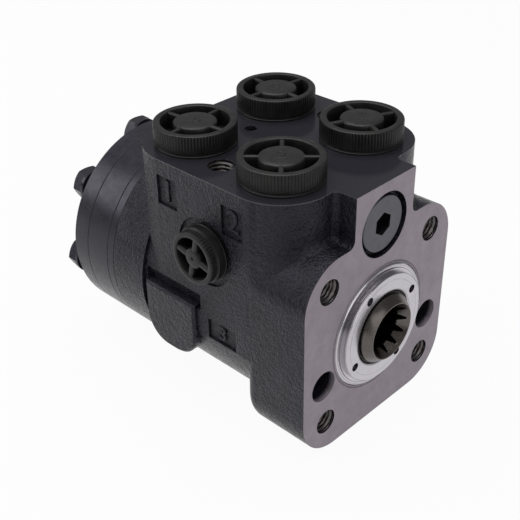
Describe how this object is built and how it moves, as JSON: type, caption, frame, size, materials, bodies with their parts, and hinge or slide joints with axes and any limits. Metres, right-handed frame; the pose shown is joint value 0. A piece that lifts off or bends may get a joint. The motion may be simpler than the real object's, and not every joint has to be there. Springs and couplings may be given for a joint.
{
  "type": "orbital steering unit",
  "caption": "Hydrostatic steering valve block with splined input, rotary spool and sleeve, bolted gerotor gear set, and plugged ports.",
  "frame": {"origin": "middle of the mounting face on the spline axis", "axes": "+X out of the mounting face along the spline axis, +Z out of the port face, -Y towards the load-sensing port"},
  "size_m": [0.1437, 0.0918, 0.1123],
  "materials": {
    "housing_paint": "satin",
    "machined_paint": "gloss",
    "bright_steel": "satin",
    "dark_steel": "satin",
    "black_plastic": "matte",
    "seal_rubber": "matte",
    "spring_steel": "satin"
  },
  "bodies": {
    "valve_block": {"housing": "housing_paint", "mounting_flange": "housing_paint", "front_bush": "bright_steel", "bush_o_ring": "seal_rubber", "dust_seal": "seal_rubber", "shaft_seal": "seal_rubber", "bearing_race_outer": "bright_steel", "gear_ring": "machined_paint", "distributor_plate": "machined_paint", "end_cover": "machined_paint", "cover_screws": "machined_paint", "cover_washers": "machined_paint", "relief_plug": "dark_steel", "relief_seal": "seal_rubber", "relief_setting_screw": "dark_steel", "relief_spring": "spring_steel", "relief_seat": "bright_steel", "shock_set_screws": "dark_steel", "shock_spring_left": "spring_steel", "shock_spring_right": "spring_steel", "check_bush": "dark_steel", "suction_stops": "bright_steel", "o_ring_housing_plate": "seal_rubber", "o_ring_plate_ring": "seal_rubber", "o_ring_ring_cover": "seal_rubber"},
    "sleeve_set": {"sleeve": "bright_steel", "cross_pin": "bright_steel", "centring_springs": "spring_steel", "spring_ring": "spring_steel", "bearing_race_inner": "bright_steel"},
    "spool_body": {"spool": "dark_steel"},
    "orbit": {"rotor_spacer": "dark_steel"},
    "rotor_body": {"rotor": "bright_steel"},
    "cardan_body": {"cardan_shaft": "dark_steel"},
    "cage_body": {"bearing_cage": "dark_steel", "bearing_needles": "bright_steel"},
    "relief_poppet_body": {"relief_poppet": "bright_steel"},
    "shock_ball_left_body": {"shock_ball_left": "bright_steel"},
    "shock_ball_right_body": {"shock_ball_right": "bright_steel"},
    "check_ball_body": {"check_ball": "bright_steel"},
    "suction_ball_left_body": {"suction_ball_left": "bright_steel"},
    "suction_ball_right_body": {"suction_ball_right": "bright_steel"},
    "plug_p_body": {"port_plug_p": "black_plastic"},
    "plug_t_body": {"port_plug_t": "black_plastic"},
    "plug_l_body": {"port_plug_l": "black_plastic"},
    "plug_r_body": {"port_plug_r": "black_plastic"},
    "plug_ls_body": {"ls_plug": "black_plastic"}
  },
  "joints": [
    {"name": "sleeve_turn", "type": "hinge", "parent": "valve_block", "child": "sleeve_set", "pos_m": [0, 0, 0], "axis": [1, 0, 0], "continuous": true},
    {"name": "spool_deflection", "type": "hinge", "parent": "sleeve_set", "child": "spool_body", "pos_m": [0, 0, 0], "axis": [1, 0, 0], "range_deg": [-8, 8], "stiffness_Nm_per_rad": 3, "deforming": ["centring_springs"]},
    {"name": "rotor_orbit", "type": "hinge", "parent": "valve_block", "child": "orbit", "pos_m": [0, 0, 0], "axis": [1, 0, 0], "continuous": true},
    {"name": "rotor_spin", "type": "hinge", "parent": "orbit", "child": "rotor_body", "pos_m": [-0.1138, 0, 0.003], "axis": [1, 0, 0], "continuous": true},
    {"name": "cardan_spin", "type": "hinge", "parent": "orbit", "child": "cardan_body", "pos_m": [-0.0845, 0, 0], "axis": [0.9948, 0, -0.1019], "continuous": true},
    {"name": "cage_turn", "type": "hinge", "parent": "valve_block", "child": "cage_body", "pos_m": [-0.0142, 0, 0], "axis": [1, 0, 0], "continuous": true},
    {"name": "relief_lift", "type": "slide", "parent": "valve_block", "child": "relief_poppet_body", "axis": [1, 0, 0], "range_m": [0, 0.0015], "stiffness_N_per_m": 4000, "springref_m": -0.002, "deforming": ["relief_spring"]},
    {"name": "shock_lift_left", "type": "slide", "parent": "valve_block", "child": "shock_ball_left_body", "axis": [1, 0, 0], "range_m": [0, 0.0015], "stiffness_N_per_m": 4000, "springref_m": -0.002, "deforming": ["shock_spring_left"]},
    {"name": "shock_lift_right", "type": "slide", "parent": "valve_block", "child": "shock_ball_right_body", "axis": [1, 0, 0], "range_m": [0, 0.0015], "stiffness_N_per_m": 4000, "springref_m": -0.002, "deforming": ["shock_spring_right"]},
    {"name": "check_lift", "type": "slide", "parent": "valve_block", "child": "check_ball_body", "axis": [0, 0, 1], "range_m": [0, 0.0008]},
    {"name": "suction_lift_left", "type": "slide", "parent": "valve_block", "child": "suction_ball_left_body", "axis": [-1, 0, 0], "range_m": [0, 0.0025]},
    {"name": "suction_lift_right", "type": "slide", "parent": "valve_block", "child": "suction_ball_right_body", "axis": [-1, 0, 0], "range_m": [0, 0.0025]},
    {"name": "plug_p_out", "type": "slide", "parent": "valve_block", "child": "plug_p_body", "axis": [0, 0, 1], "range_m": [0, 0.016]},
    {"name": "plug_t_out", "type": "slide", "parent": "valve_block", "child": "plug_t_body", "axis": [0, 0, 1], "range_m": [0, 0.016]},
    {"name": "plug_l_out", "type": "slide", "parent": "valve_block", "child": "plug_l_body", "axis": [0, 0, 1], "range_m": [0, 0.016]},
    {"name": "plug_r_out", "type": "slide", "parent": "valve_block", "child": "plug_r_body", "axis": [0, 0, 1], "range_m": [0, 0.016]},
    {"name": "plug_ls_out", "type": "slide", "parent": "valve_block", "child": "plug_ls_body", "axis": [0, -1, 0], "range_m": [0, 0.012]}
  ],
  "couplings": [
    {"joint": "rotor_orbit", "follows": "sleeve_turn", "ratio": -6},
    {"joint": "rotor_spin", "follows": "sleeve_turn", "ratio": 7},
    {"joint": "cardan_spin", "follows": "sleeve_turn", "ratio": 7},
    {"joint": "cage_turn", "follows": "sleeve_turn", "ratio": 0.5}
  ]
}
